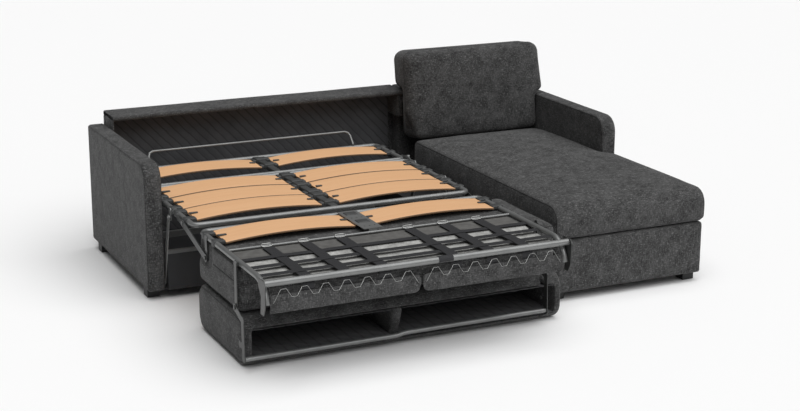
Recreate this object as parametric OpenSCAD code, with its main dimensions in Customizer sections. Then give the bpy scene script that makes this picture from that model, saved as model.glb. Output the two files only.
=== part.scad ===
// Corner sofa bed, shown open as a bed, in millimetres.
// The sofa stands on z = 0 with its back toward +Y, and the bed unfolds toward -Y.
// Inside the modules x runs from the left arm, y from the front of the arms.

/* [Sofa] */
// overall width over both arms
sofa_w = 2500; // [2200:10:2800]
// depth from the front of the arms to the back
sofa_d = 965; // [850:5:1100]
// thickness of each arm
arm_t = 83; // [60:1:140]
// height of the arms
arm_h = 640; // [520:5:720]
// height of the back rail over the bed
back_h = 705; // [600:5:800]
// height of the feet
foot_h = 43; // [25:1:80]
// side of a square foot
foot_w = 60; // [40:1:90]
// radius on the upper front corner of an arm
arm_r = 80; // [40:1:140]
// small radius on the long edges of the upholstery
edge_r = 15; // [6:1:25]

/* [Chaise] */
// left side of the chaise base
chaise_x = 1680; // [1600:1:1760]
// right side of the chaise front, which passes in front of the right arm
chaise_right = 2490; // [2430:1:2500]
// how far the chaise reaches in front of the arms
chaise_out = 805; // [600:5:1000]
// top of the chaise base
chaise_base_h = 292; // [220:1:340]
// top of the chaise seat cushion at its edge
chaise_seat_h = 448; // [400:1:500]
// height of the crown in the middle of the chaise cushion
crown = 14; // [4:1:30]
// thickness of the chaise back cushion
back_cushion_t = 182; // [120:1:240]
// height of the chaise back cushion
back_cushion_h = 475; // [360:5:560]
// angle the chaise back cushion leans back
back_lean = 7; // [0:0.5:15]

/* [Front of the bed box] */
// top of the front panel
panel_h = 215; // [160:1:260]
// thickness of the front panel
panel_t = 20; // [12:1:30]
// height of the steel cross rail on the panel
cross_h = 17; // [10:1:30]

/* [Bed frame] */
// outside diameter of the frame tubes
tube_d = 25; // [18:0.5:32]
// height of the tube tops
tube_top = 448; // [400:1:500]
// left edge of the bed frame
bed_x0 = 107; // [104:1:130]
// right edge of the bed frame
bed_x1 = 1487; // [1440:1:1487]
// rear tube of the head section
head_back = 726; // [690:1:735]
// front tube of the head section
head_front = 386; // [380:1:395]
// rear tube of the middle section
mid_back = 354; // [340:1:356]
// front tube of the middle section
mid_front = -327; // [-340:1:-300]
// rear tube of the foot section
foot_back = -433; // [-445:1:-425]
// front tube of the foot section
foot_front = -1221; // [-1240:1:-1200]
// radius of the corners of each tube frame
corner_r = 34; // [28:1:45]
// radius of the bend at the front corners
bend_r = 105; // [80:1:130]
// webbing rod across the foot section
rod_y = -746; // [-780:1:-720]
// diameter of the thin rods
rod_d = 12; // [8:0.5:16]

/* [Slats] */
// thickness of a slat
slat_t = 8; // [6:0.5:12]
// rise of a slat in its middle
slat_rise = 27; // [10:1:35]
// length of a slat holder
holder_l = 25; // [18:1:30]
// width of a centre bar
bar_w = 40; // [30:1:50]

/* [Folding mechanism] */
// thickness of the steel plates
plate_t = 5; // [4:0.5:5]
// diameter of the pivot studs
stud_d = 10; // [8:0.5:14]
// play between a stud and its hole, on the radius
play = 0.2; // [0.15:0.05:0.4]
// length of a swing arm between its two pivots
arm_l = 340; // [320:1:350]
// angle of a swing arm from +Y when the bed is open
arm_angle = 105.65; // [100:0.05:110]
// upper pivot of the front swing arms
front_arm_y = -47; // [-60:1:-30]
// upper pivot of the rear swing arms
rear_arm_y = 290; // [270:1:298]
// height of the upper pivots
arm_pivot_z = 402; // [395:1:408]
// pivot of the knee plates on the middle section
knee_y = -232; // [-250:1:-220]
// height of the knee pivot
knee_z = 425; // [420:1:430]
// pivot of the foot section on the knee plates
heel_y = -540; // [-560:1:-520]
// height of the heel pivot
heel_z = 350; // [345:1:360]
// pivot of the folded backrest on the foot section
rest_y = -931; // [-940:1:-920]
// height of the backrest pivot
rest_z = 250; // [245:1:255]

/* [Seat and backrest cushions] */
// left side of both cushions
pad_x0 = 98.5; // [98:0.5:106]
// right side of both cushions
pad_x1 = 1600; // [1540:5:1640]
// rear end of both cushions
pad_back = -420; // [-430:1:-415]
// front end of the seat cushion
seat_front = -944; // [-944:1:-930]
// underside of the seat cushion
seat_z = 222; // [221:1:235]
// front end of the backrest
rest_front = -1005; // [-1015:1:-990]
// top of the backrest as it lies on the floor
rest_h = 216; // [190:1:218]
// wall of the hollow backrest
rest_wall = 34; // [24:1:50]
// radius on the ends of the backrest
rest_r = 70; // [50:1:90]

// how far the middle joggle lifts the backrest tube
joggle_rise = 8; // [4:0.5:14]
// bending radius of the joggle
joggle_r = 120; // [60:5:200]

/* [Hidden] */
$fn = 48;
tube_z = tube_top - tube_d / 2;
bed_mid = (bed_x0 + bed_x1) / 2;
rail_x = bed_x0 + tube_d / 2;
front_edge = foot_front - 29;
place_x = -sofa_w / 2;
place_y = -(sofa_d + front_edge) / 2;
bed_right = chaise_x - 12;
hinge_y = 370;
hinge_z = tube_top + 3;
base_y = front_arm_y - arm_l * cos(arm_angle);
base_z = arm_pivot_z - arm_l * sin(arm_angle);
rear_base_y = rear_arm_y - arm_l * cos(arm_angle);
side_x = arm_t + 0.5;
arm_x = side_x + 7;
panel_x = arm_x + plate_t + 1.5;
tube_r = tube_d / 2;
lug_x = arm_x + 7.5;
knee_x = lug_x;
heel_x = knee_x + plate_t + 2;
slat_l = bed_mid - bar_w / 2 - 2 * holder_l - bed_x0 - tube_d;
slat_x = bed_x0 + tube_d + holder_l;
slat_z = tube_z + 5;
valance_top = tube_z - 34;
steel = [0.50, 0.51, 0.52];
cloth = [0.25, 0.25, 0.26];
dark = [0.10, 0.10, 0.11];
beech = [0.83, 0.62, 0.42];

// moves a sub-part from the sofa measures to the shared frame
module placed() {
    translate([place_x, place_y, 0]) children();
}

// draws the children and their mirror image about the middle of the bed
module both_sides() {
    children();
    translate([2 * bed_mid, 0, 0]) mirror([1, 0, 0]) children();
}

// box between two corners
module box(a, b) {
    translate(a) cube(b - a);
}

// flat shape in y and z, thick along x
module slab_x(x0, x1) {
    translate([x0, 0, 0]) rotate([90, 0, 90]) linear_extrude(x1 - x0) children();
}

// flat shape in x and z, thick along y
module slab_y(y0, y1) {
    translate([0, y1, 0]) rotate([90, 0, 0]) linear_extrude(y1 - y0) children();
}

// rectangle with four true round corners
module round_rect(a, b, r) {
    translate([a.x + r, a.y]) square([b.x - a.x - 2 * r, b.y - a.y]);
    translate([a.x, a.y + r]) square([b.x - a.x, b.y - a.y - 2 * r]);
    for (x = [a.x + r, b.x - r], y = [a.y + r, b.y - r]) translate([x, y]) circle(r);
}

// rectangle with true round corners at the top only
module round_top(a, b, r0, r1) {
    difference() {
        translate(a) square(b - a);
        translate([a.x - 1, b.y - r0]) square([r0 + 1, r0 + 1]);
        translate([b.x - r1, b.y - r1]) square([r1 + 1, r1 + 1]);
    }
    translate([a.x + r0, b.y - r0]) circle(r0);
    translate([b.x - r1, b.y - r1]) circle(r1);
}

// straight round bar between two points
module bar(p, q, d) {
    v = q - p;
    len = norm(v);
    translate(p) rotate([0, acos(v.z / len), atan2(v.y, v.x)]) cylinder(h = len, d = d);
}

// bent round bar through a list of points, with round elbows
module wire(points, d) {
    for (i = [0 : len(points) - 2]) bar(points[i], points[i + 1], d);
    for (i = [1 : len(points) - 2]) translate(points[i]) sphere(d = 1.06 * d);
}

// quarter bend of a tube in a plane of constant x
module bend(x, y, z, r, d, start, turn) {
    translate([x, y, z]) rotate([90, 0, 90]) rotate([0, 0, start])
        rotate_extrude(angle = turn) translate([r, 0]) circle(d / 2);
}

// tube across the bed with rounded corners; side is 1 at the rear of a section, -1 at its front
module cross_tube(y, side) {
    for (m = [0, 1]) translate([m * 2 * bed_mid, 0, 0]) mirror([m, 0, 0])
        translate([rail_x + corner_r, y - side * corner_r, tube_z])
            rotate([0, 0, side > 0 ? 90 : 180])
                rotate_extrude(angle = 90) translate([corner_r, 0]) circle(tube_r);
    bar([rail_x + corner_r, y, tube_z], [2 * bed_mid - rail_x - corner_r, y, tube_z], tube_d);
}

// flat steel link between two pivots in y and z, with round eyes wider than the bar
module link(p, q, w) {
    v = q - p;
    translate(p) circle(w / 2);
    translate(q) circle(w / 2);
    translate(p) rotate(atan2(v.y, v.x)) translate([0, -0.42 * w]) square([norm(v), 0.84 * w]);
}

// pivot stud with a flat head, reaching from x0 to x1
module stud(x0, x1, y, z) {
    translate([x0 + 2.5, y, z]) rotate([0, 90, 0]) cylinder(h = x1 - x0 - 2.5, d = stud_d);
    translate([x0, y, z]) rotate([0, 90, 0]) cylinder(h = 3, d = stud_d + 8);
}

// hole for a pivot stud
module stud_hole(y, z) {
    translate([y, z]) circle(stud_d / 2 + play);
}

// one ring of a cushion: a rounded rectangle drawn in by a margin
function ring(c, h, inset, z, n, p) = [for (i = [0 : n - 1])
    let (a = 360 * i / n, ca = cos(a), sa = sin(a))
    [c.x + (h.x - inset) * sign(ca) * pow(abs(ca), p),
     c.y + (h.y - inset) * sign(sa) * pow(abs(sa), p), z]];

// upholstered cushion with a crown above and below, full sides and a drawn-in waist seam
module pillow(a, b, top, bottom, waist) {
    n = 56;
    p = 0.16;
    c = (a + b) / 2;
    h = (b - a) / 2;
    small = min(h.x, h.y);
    t = b.z - a.z;
    levels = concat(
        [for (s = [0.1, 0.4, 0.75]) [small * (1 - s), a.z - bottom * (1 - s * s)]],
        [[20, a.z], [8, a.z + 3], [2, a.z + 12], [0, a.z + t * 0.3],
         [waist, a.z + t / 2 - 4], [waist, a.z + t / 2 + 4],
         [0, b.z - t * 0.3], [2, b.z - 12], [8, b.z - 3], [20, b.z]],
        [for (s = [0.75, 0.4, 0.1]) [small * (1 - s), b.z + top * (1 - s * s)]]);
    m = len(levels);
    points = concat([for (k = levels) each ring(c, h, k[0], k[1], n, p)],
        [[c.x, c.y, a.z - bottom], [c.x, c.y, b.z + top]]);
    faces = concat(
        [for (k = [0 : m - 2], i = [0 : n - 1]) let (j = (i + 1) % n)
            [k * n + i, k * n + n + i, k * n + j]],
        [for (k = [0 : m - 2], i = [0 : n - 1]) let (j = (i + 1) % n)
            [k * n + j, k * n + n + i, k * n + n + j]],
        [for (i = [0 : n - 1]) [m * n, i, (i + 1) % n]],
        [for (i = [0 : n - 1]) [m * n + 1, m * n - n + (i + 1) % n, m * n - n + i]]);
    polyhedron(points, faces);
}

// row of arched slats between y0 and y1, one in each half of the bed
module slat_pair(y0, y1) {
    half = slat_l / 2;
    r = (half * half + slat_rise * slat_rise) / (2 * slat_rise);
    for (x = [slat_x + half, 2 * bed_mid - slat_x - half]) translate([x, 0, slat_z])
        slab_y(y0, y1) translate([0, slat_rise - r]) intersection() {
            difference() {
                circle(r + slat_t / 2, $fn = 900);
                circle(r - slat_t / 2, $fn = 900);
            }
            translate([-half, 0]) square([2 * half, 2 * r]);
        }
}

// rubber holders at the four ends of one row of slats
module holder_row(y0, y1) {
    both_sides() {
        for (y = [y0 + 8, y1 - 48]) {
            box([bed_x0 + tube_d, y, slat_z - 9], [slat_x, y + 40, slat_z + 9]);
            box([bed_mid - bar_w / 2 - holder_l, y, slat_z - 9],
                [bed_mid - bar_w / 2, y + 40, slat_z + 9]);
        }
    }
}

// wide slat rows of the three sections
head_rows = [[500, 672]];
mid_rows = [[136, 322], [-72, 122], [-270, -82]];
foot_rows = [[-652, -466]];

module arm_form(x0, x1, y0) {
    intersection() {
        slab_x(x0, x1) round_top([y0, foot_h], [sofa_d, arm_h], arm_r, edge_r);
        slab_y(y0, sofa_d) round_top([x0, foot_h], [x1, arm_h], edge_r, edge_r);
    }
}

module left_arm() {
    color(cloth) placed() arm_form(0, arm_t, 0);
}

module right_arm() {
    color(cloth) placed() arm_form(sofa_w - arm_t, sofa_w, 0);
}

module bed_back_shell() {
    color(cloth) placed() {
        box([arm_t, 925, foot_h], [bed_right, sofa_d, back_h - 50]);
        difference() {
            slab_x(arm_t, bed_right) round_rect([786, back_h - 65], [sofa_d, back_h], 26);
            box([bed_mid - 16, 780, back_h - 70], [bed_mid + 16, 800, back_h - 53]);
        }
    }
}

module bed_back_lining() {
    color(dark) placed() {
        box([arm_t, 918, foot_h], [bed_right, 925, back_h - 65]);
    }
}

module bed_floor_board() {
    color(dark) placed() box([arm_t, panel_t, foot_h], [1511, 918, foot_h + 6]);
}

module chaise_back_shell() {
    color(cloth) placed()
        slab_x(bed_right, sofa_w - arm_t)
            round_top([sofa_d - 105, foot_h], [sofa_d, back_h], 30, edge_r);
}

module chaise_base() {
    color(cloth) placed() {
        slab_y(-chaise_out, 0) round_rect([chaise_x, foot_h], [chaise_right, chaise_base_h], 12);
        box([chaise_x, 0, foot_h], [sofa_w - arm_t, sofa_d - 105, chaise_base_h]);
    }
}

module chaise_seat_cushion() {
    color(cloth) placed() difference() {
        pillow([chaise_x - 8, -chaise_out - 8, chaise_base_h + 0.5],
            [chaise_right + 8, sofa_d - 275, chaise_seat_h], crown, 0, 2);
        box([sofa_w - arm_t - 2, -2, 0], [sofa_w + 10, sofa_d, 600]);
    }
}

module chaise_back_cushion() {
    color(cloth) placed()
        translate([(bed_right + sofa_w - arm_t) / 2, sofa_d - 342.8, chaise_base_h + 2])
            rotate([90 - back_lean, 0, 0])
                pillow([-371, 165, -back_cushion_t], [371, 165 + back_cushion_h, 0], 16, 5, 3);
}

module feet() {
    color(dark) placed() {
        for (y = [60, sofa_d - 120]) {
            box([12, y, 0], [12 + foot_w, y + foot_w, foot_h]);
            box([sofa_w - 72, y, 0], [sofa_w - 72 + foot_w, y + foot_w, foot_h]);
        }
        for (x = [chaise_x + 15, chaise_right - 15 - foot_w])
            box([x, 45 - chaise_out, 0], [x + foot_w, 45 - chaise_out + foot_w, foot_h]);
        for (y = [60, sofa_d - 120])
            box([chaise_x + 15, y, 0], [chaise_x + 15 + foot_w, y + foot_w, foot_h]);
    }
}

module front_panel() {
    color(dark) placed() box([panel_x, 0, foot_h], [2 * bed_mid - panel_x, panel_t, panel_h]);
}

module inner_side_box() {
    color(dark) placed() box([1511, 0, foot_h], [chaise_x, 858, panel_h]);
}

module front_cross_rail() {
    color(steel) placed()
        box([panel_x, 1, panel_h], [2 * bed_mid - panel_x, panel_t - 1, panel_h + cross_h]);
}

module rear_cross_rail() {
    color(steel) placed() box([side_x + 5, 800, foot_h + 6], [1511 - 5, 825, foot_h + 36]);
}

module mechanism_side_plates() {
    color(steel) placed() both_sides() {
        difference() {
            slab_x(side_x, side_x + 4.5)
                round_rect([panel_t + 2, foot_h + 6], [792, base_z + 34], 12);
            for (y = [300, 560]) slab_x(side_x - 1, side_x + 6)
                round_rect([y, foot_h + 24], [y + 90, base_z + 12], 8);
        }
        for (y = [base_y, rear_base_y]) {
            translate([side_x + 4, y, base_z]) rotate([0, 90, 0])
                cylinder(h = arm_x + plate_t + 3 - side_x - 4, d = stud_d);
            translate([arm_x + plate_t + 0.8, y, base_z]) rotate([0, 90, 0])
                cylinder(h = 3, d = stud_d + 8);
        }
    }
}

module swing_arm(y) {
    top = [y, arm_pivot_z];
    low = top - arm_l * [cos(arm_angle), sin(arm_angle)];
    both_sides() slab_x(arm_x, arm_x + plate_t) difference() {
        link(low, top, 30);
        stud_hole(low.x, low.y);
        stud_hole(top.x, top.y);
    }
}

module front_swing_arms() {
    color(steel) placed() swing_arm(front_arm_y);
}

module rear_swing_arms() {
    color(steel) placed() swing_arm(rear_arm_y);
}

module mid_side_rails() {
    color(steel) placed() both_sides() {
        bar([rail_x, mid_front + corner_r, tube_z], [rail_x, mid_back - corner_r, tube_z], tube_d);
        for (y = [front_arm_y, rear_arm_y]) {
            slab_x(lug_x + 1, lug_x + 5) link([y, arm_pivot_z], [y, tube_z], 30);
            box([lug_x + 4, y - 12, tube_z - 6], [rail_x, y + 12, tube_z + 6]);
            stud(arm_x - 3.2, lug_x + 4, y, arm_pivot_z);
        }
        stud(knee_x - 4, rail_x, knee_y, knee_z);
        slab_x(bed_x0 - 3.6, bed_x0 - 0.2) link([hinge_y - 64, tube_z - 1], [hinge_y, hinge_z], 18);
        box([bed_x0 - 1, hinge_y - 70, tube_z - 7], [rail_x, hinge_y - 56, tube_z + 5]);
        stud(knee_x - 4, bed_x0 - 1, hinge_y, hinge_z);
    }
}

module mid_cross_tubes() {
    color(steel) placed() {
        cross_tube(mid_front, -1);
        cross_tube(mid_back, 1);
    }
}

module mid_slats() {
    color(beech) placed() for (r = mid_rows) slat_pair(r[0], r[1]);
}

module mid_centre_bar() {
    color(dark) placed() box([bed_mid - bar_w / 2, mid_front + tube_r, tube_z - 10],
        [bed_mid + bar_w / 2, mid_back - tube_r, tube_z + 12]);
}

module mid_slat_holders() {
    color(dark) placed() for (r = mid_rows) holder_row(r[0], r[1]);
}

module head_side_rails() {
    color(steel) placed() both_sides() {
        bar([rail_x, head_front + corner_r, tube_z], [rail_x, head_back - corner_r, tube_z],
            tube_d);
        slab_x(knee_x, knee_x + plate_t) difference() {
            link([hinge_y + 70, tube_z], [hinge_y, hinge_z], 19);
            stud_hole(hinge_y, hinge_z);
        }
        box([knee_x + 4, hinge_y + 60, tube_z - 6], [rail_x, hinge_y + 76, tube_z + 6]);
    }
}

module head_cross_tubes() {
    color(steel) placed() {
        cross_tube(head_front, -1);
        cross_tube(head_back, 1);
    }
}

module head_slats() {
    color(beech) placed() for (r = head_rows) slat_pair(r[0], r[1]);
}

module head_centre_bar() {
    color(dark) placed() box([bed_mid - bar_w / 2, head_front + tube_r, tube_z - 10],
        [bed_mid + bar_w / 2, head_back - tube_r, tube_z + 12]);
}

module head_slat_holders() {
    color(dark) placed() for (r = head_rows) holder_row(r[0], r[1]);
}

module mattress_stop_bar() {
    y0 = head_back;
    z0 = tube_top + 5;
    color(steel) placed() both_sides() {
        bar([250, y0, tube_top + 0.1], [250, y0, z0 + 4], rod_d + 2);
        translate([250, y0, z0 + 4]) sphere(d = rod_d + 2);
        wire([[250, y0, z0 + 4], [250, y0 + 34, 492], [258, y0 + 44, 506],
            [276, y0 + 49, 513], [bed_mid, y0 + 49, 513]], rod_d);
    }
}

module knee_plates() {
    color(steel) placed() both_sides() slab_x(knee_x, knee_x + plate_t) difference() {
        union() {
            link([knee_y, knee_z], [heel_y, heel_z], 36);
            link([knee_y, knee_z], [knee_y + 66, knee_z + 6], 26);
        }
        stud_hole(knee_y, knee_z);
        stud_hole(heel_y, heel_z);
    }
}

module foot_side_rails() {
    color(steel) placed() both_sides()
        bar([rail_x, foot_front + bend_r, tube_z], [rail_x, foot_back - corner_r, tube_z],
            tube_d);
}

module heel_lugs() {
    color(steel) placed() both_sides() {
        slab_x(heel_x - 1, bed_x0) link([heel_y, heel_z], [heel_y + 8, tube_z - 2], 34);
        stud(knee_x - 4, heel_x + 1, heel_y, heel_z);
    }
}

module foot_corner_bends() {
    y1 = foot_front + bend_r;
    color(steel) placed() both_sides()
        bend(rail_x, y1, tube_z - bend_r, bend_r, tube_d, 90, 82);
}

module foot_rear_tube() {
    color(steel) placed() cross_tube(foot_back, 1);
}

module foot_front_tube() {
    color(steel) placed() bar([heel_x + 1.5, foot_front, tube_z - 2],
        [2 * bed_mid - heel_x - 1.5, foot_front, tube_z - 2], tube_d + 3);
}

module foot_slats() {
    color(beech) placed() for (r = foot_rows) slat_pair(r[0], r[1]);
}

module foot_centre_plate() {
    color(steel) placed() {
        difference() {
            box([bed_mid - 45, rod_y + 6, slat_z + 9], [bed_mid + 45, foot_back - 15, slat_z + 12]);
            for (x = [-24, 0, 24], y = [-700, -560, -470]) translate([bed_mid + x, y, slat_z + 8])
                cylinder(h = 5, d = 8);
        }
        box([bed_mid - bar_w / 2, rod_y + rod_d / 2, tube_z - 10],
            [bed_mid + bar_w / 2, foot_back - tube_r, slat_z + 9]);
    }
}

module foot_slat_holders() {
    color(dark) placed() for (r = foot_rows) holder_row(r[0], r[1]);
}

module webbing_rod() {
    color(steel) placed() bar([bed_x0 + tube_d, rod_y, tube_z],
        [bed_x1 - tube_d, rod_y, tube_z], rod_d);
}

strap_x = [300, 468, 636, 958, 1126, 1294];

module webbing_straps() {
    color(dark) placed() for (x = strap_x)
        box([x - 25, foot_front + 13.9, tube_z - 1.5], [x + 25, rod_y - 13, tube_z + 1.5]);
}

module cross_straps() {
    color(dark) placed() for (y = [-1120, -1010, -900])
        box([bed_x0 + tube_d, y - 18, tube_z - 4.5], [bed_x1 - tube_d, y + 18, tube_z - 1.5]);
}

module webbing_clips() {
    color(steel) placed() for (x = strap_x) difference() {
        box([x - 24, rod_y - 13, tube_z - 1.5], [x + 24, rod_y - rod_d / 2, tube_z + 1.5]);
        box([x - 18, rod_y - 11, tube_z - 2], [x + 18, rod_y - rod_d / 2 - 2, tube_z + 2]);
    }
}

module corner_plates() {
    color(steel) placed() both_sides() slab_x(heel_x - 2.5, heel_x + 1.5)
        polygon([[-1180, 449], [-1238, 449], [front_edge, 430], [front_edge + 4, 340],
            [-1228, 304], [-1196, 304], [-1202, 380], [-1172, 420]]);
}

module lacing_wires() {
    color(steel) placed() for (x0 = [150, bed_mid + 40])
        wire([for (i = [0 : 12]) [x0 + i * 49, foot_front, valance_top + 1.6 + (i % 2) * 15]], 3,
            $fn = 8);
}

module front_valance() {
    color(dark) placed() {
        box([133, foot_front - 1.5, 306], [bed_mid - 6, foot_front + 1.5, valance_top]);
        box([bed_mid + 6, foot_front - 1.5, 306],
            [2 * bed_mid - 133, foot_front + 1.5, valance_top]);
    }
}

module rest_pivot_lugs() {
    color(steel) placed() both_sides() {
        slab_x(lug_x - 4.5, lug_x - 0.5) link([rest_y, rest_z], [rest_y, tube_z], 32);
        box([lug_x - 1, rest_y - 12, tube_z - 7], [bed_x0, rest_y + 12, tube_z + 7]);
        stud(lug_x - 13.5, lug_x - 3, rest_y, rest_z);
    }
}

module seat_cushion() {
    color(cloth) placed() difference() {
        union() {
            pillow([pad_x0, seat_front, seat_z + 4], [pad_x1, pad_back, tube_top - tube_d - 2.2], 2, 4, 3);
            box([bed_x0 + 34, foot_front + 24, 398], [bed_x1 - 34, seat_front + 20, 416]);
        }
        box([pad_x0 - 5, heel_y - 75, heel_z - 34], [heel_x + 8, pad_back + 10, 430]);
        box([2 * bed_mid - heel_x - 8, heel_y - 75, heel_z - 34],
            [2 * bed_mid - knee_x + 5, pad_back + 10, 430]);
        box([2 * bed_mid - lug_x - 2, seat_front - 10, 200],
            [2 * bed_mid - arm_x + 8, rest_y + 40, 430]);
    }
}

module backrest_shell() {
    color(cloth) placed() difference() {
        slab_x(pad_x0, pad_x1) round_rect([rest_front, 0], [pad_back, rest_h], rest_r);
        box([pad_x0 + rest_wall, rest_front - 1, rest_wall],
            [pad_x1 - rest_wall, pad_back - 60, rest_h - 48]);
        box([2 * bed_mid - pad_x0, rest_front - 1, -1],
            [2 * bed_mid - arm_x + 8, rest_front + 45, rest_h + 1]);
    }
}

module backrest_lining() {
    color(dark) placed() box([pad_x0 + rest_wall, pad_back - 68, rest_wall],
        [pad_x1 - rest_wall, pad_back - 60, rest_h - 48]);
}

module backrest_rib() {
    color(dark) placed() box([bed_mid - 22, rest_front + 12, rest_wall],
        [bed_mid + 22, pad_back - 68, rest_h - 48]);
}

module backrest_tube() {
    y = rest_front - 18;
    x = arm_x + 1.5;
    low = 54;
    high = low + joggle_rise;
    turn = acos(1 - joggle_rise / (2 * joggle_r));
    run = joggle_r * sin(turn);
    color(steel) placed() {
        bar([x, y, low], [bed_mid - run, y, low], 20);
        translate([bed_mid - run, y, low + joggle_r]) rotate([90, 0, 0]) rotate([0, 0, -90])
            rotate_extrude(angle = turn) translate([joggle_r, 0]) circle(10);
        translate([bed_mid + run, y, high - joggle_r]) rotate([90, 0, 0]) rotate([0, 0, 90])
            rotate_extrude(angle = turn) translate([joggle_r, 0]) circle(10);
        bar([bed_mid + run, y, high], [2 * bed_mid - x, y, high], 20);
    }
}

module backrest_arm_plates() {
    x = arm_x - 2.5;
    color(steel) placed() both_sides() {
        slab_x(x, x + 4) difference() {
            union() {
                link([rest_y, rest_z], [rest_front - 12, rest_z - 30], 34);
                link([rest_front - 12, rest_z - 30], [rest_front - 18, 60], 34);
                link([rest_front - 18, 110], [rest_front + 20, 110], 30);
            }
            stud_hole(rest_y, rest_z);
        }
        translate([x + 4, rest_front + 20, 110]) rotate([0, 90, 0])
            cylinder(h = pad_x0 - x - 4, d = 16);
    }
}

left_arm();
right_arm();
bed_back_shell();
bed_back_lining();
bed_floor_board();
chaise_back_shell();
chaise_base();
chaise_seat_cushion();
chaise_back_cushion();
feet();
front_panel();
inner_side_box();
front_cross_rail();
rear_cross_rail();
mechanism_side_plates();
front_swing_arms();
rear_swing_arms();
mid_side_rails();
mid_cross_tubes();
mid_slats();
mid_centre_bar();
mid_slat_holders();
head_side_rails();
head_cross_tubes();
head_slats();
head_centre_bar();
head_slat_holders();
mattress_stop_bar();
knee_plates();
foot_side_rails();
heel_lugs();
foot_corner_bends();
foot_rear_tube();
foot_front_tube();
foot_slats();
foot_centre_plate();
foot_slat_holders();
webbing_rod();
webbing_straps();
cross_straps();
webbing_clips();
corner_plates();
lacing_wires();
front_valance();
rest_pivot_lugs();
seat_cushion();
backrest_shell();
backrest_lining();
backrest_rib();
backrest_tube();
backrest_arm_plates();
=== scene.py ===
import bmesh
import bpy
import numpy as np
from mathutils import Matrix, Vector
from mathutils.bvhtree import BVHTree


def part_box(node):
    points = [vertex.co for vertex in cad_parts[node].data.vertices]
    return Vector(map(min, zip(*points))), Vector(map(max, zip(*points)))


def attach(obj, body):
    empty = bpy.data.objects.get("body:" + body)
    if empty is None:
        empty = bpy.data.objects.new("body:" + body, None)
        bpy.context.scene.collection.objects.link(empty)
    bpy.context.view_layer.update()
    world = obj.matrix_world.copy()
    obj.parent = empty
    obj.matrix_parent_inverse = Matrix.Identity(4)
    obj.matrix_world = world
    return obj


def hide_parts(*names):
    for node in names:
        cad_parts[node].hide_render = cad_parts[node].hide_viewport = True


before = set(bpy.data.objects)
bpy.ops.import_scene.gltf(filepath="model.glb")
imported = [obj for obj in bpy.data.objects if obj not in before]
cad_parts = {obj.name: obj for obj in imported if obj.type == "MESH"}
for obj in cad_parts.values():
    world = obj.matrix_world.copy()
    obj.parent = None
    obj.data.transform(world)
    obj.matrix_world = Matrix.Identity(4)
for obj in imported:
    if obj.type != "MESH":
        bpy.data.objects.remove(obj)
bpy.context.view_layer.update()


# Camera: it stands to the left of the sofa and a little above it, as far off as
# in the photograph, with a long lens. Its place was solved from the corners of
# the arms, the chaise and the bed frame.
camera = bpy.data.objects.new("camera", bpy.data.cameras.new("camera"))
bpy.context.collection.objects.link(camera)
camera.data.lens = 74.19
camera.data.sensor_width = 36.0
camera.data.clip_end = 60.0
heading, tilt, roll = np.radians((-25.325, 90 - 15.446, 0.1345))
camera.matrix_world = (
    Matrix.Translation((-3.2805, -6.8419, 2.4463))
    @ Matrix.Rotation(heading, 4, "Z")
    @ Matrix.Rotation(tilt, 4, "X")
    @ Matrix.Rotation(roll, 4, "Z")
)
bpy.context.scene.camera = camera


# Studio: a seamless white floor under a very wide soft light from the ceiling, a
# weaker one from the front, and a white surround that fills the shadows.
def colour(text):
    """sRGB hex turned to linear: c / 12.92 under 0.04045, else ((c + 0.055) / 1.055) to the power 2.4."""
    c = np.array([int(text[i : i + 2], 16) for i in (1, 3, 5)]) / 255.0
    c = np.where(c <= 0.04045, c / 12.92, ((c + 0.055) / 1.055) ** 2.4)
    return (*[float(v) for v in c], 1.0)


def join(tree, node, links=(), inputs=()):
    """Sets inputs of a shader node and links others into it: an output, or the first one that a node has."""
    for name, value in dict(inputs).items():
        node.inputs[name].default_value = value
    for name, source in dict(links).items():
        if isinstance(source, bpy.types.Node):
            source = next(output for output in source.outputs if output.enabled)
        tree.links.new(source, node.inputs[name])
    return node


def put(tree, kind, links=(), inputs=(), **settings):
    """Adds one shader node with its settings, links and inputs."""
    node = tree.nodes.new(kind)
    for name, value in settings.items():
        setattr(node, name, value)
    return join(tree, node, links, inputs)


def material(name):
    """A material with a Principled shader and its output, ready for nodes."""
    m = bpy.data.materials.new(name)
    m.use_nodes = True
    tree = m.node_tree
    tree.nodes.clear()
    shader = tree.nodes.new("ShaderNodeBsdfPrincipled")
    put(tree, "ShaderNodeOutputMaterial", {"Surface": shader})
    return m, tree, shader


def add_piece(name, mesh, stuff, smooth=True):
    """Makes the mesh an object at the origin, in one material and with smooth or flat shading."""
    mesh.polygons.foreach_set("use_smooth", np.full(len(mesh.polygons), smooth))
    mesh.materials.append(stuff)
    piece = bpy.data.objects.new(name, mesh)
    bpy.context.collection.objects.link(piece)
    return piece


def mesh_piece(name, points, faces, stuff, smooth=True):
    """One object from arrays of points and faces; doubles are merged and its normals are turned outward."""
    mesh = bpy.data.meshes.new(name)
    mesh.from_pydata(np.asarray(points, float).tolist(), [], [list(f) for f in faces])
    mesh.validate()
    b = bmesh.new()
    b.from_mesh(mesh)
    bmesh.ops.remove_doubles(b, verts=b.verts, dist=1e-6)
    bmesh.ops.recalc_face_normals(b, faces=b.faces)
    b.to_mesh(mesh)
    b.free()
    return add_piece(name, mesh, stuff, smooth)


paper, tree, shader = material("studio_paper")
grain = put(tree, "ShaderNodeTexNoise", inputs={"Scale": 30.0, "Detail": 2.0})
bump = put(tree, "ShaderNodeBump", {"Height": grain}, {"Strength": 0.02})
join(tree, shader, {"Normal": bump}, {"Base Color": colour("#f7f7f7"), "Roughness": 0.9})
reach, rear, level = 45.0, 51.0, -0.002
corners = [(-reach, -reach, level), (reach, -reach, level), (reach, rear, level), (-reach, rear, level)]
floor = mesh_piece("studio_floor", corners, [(0, 1, 2, 3)], paper)

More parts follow.
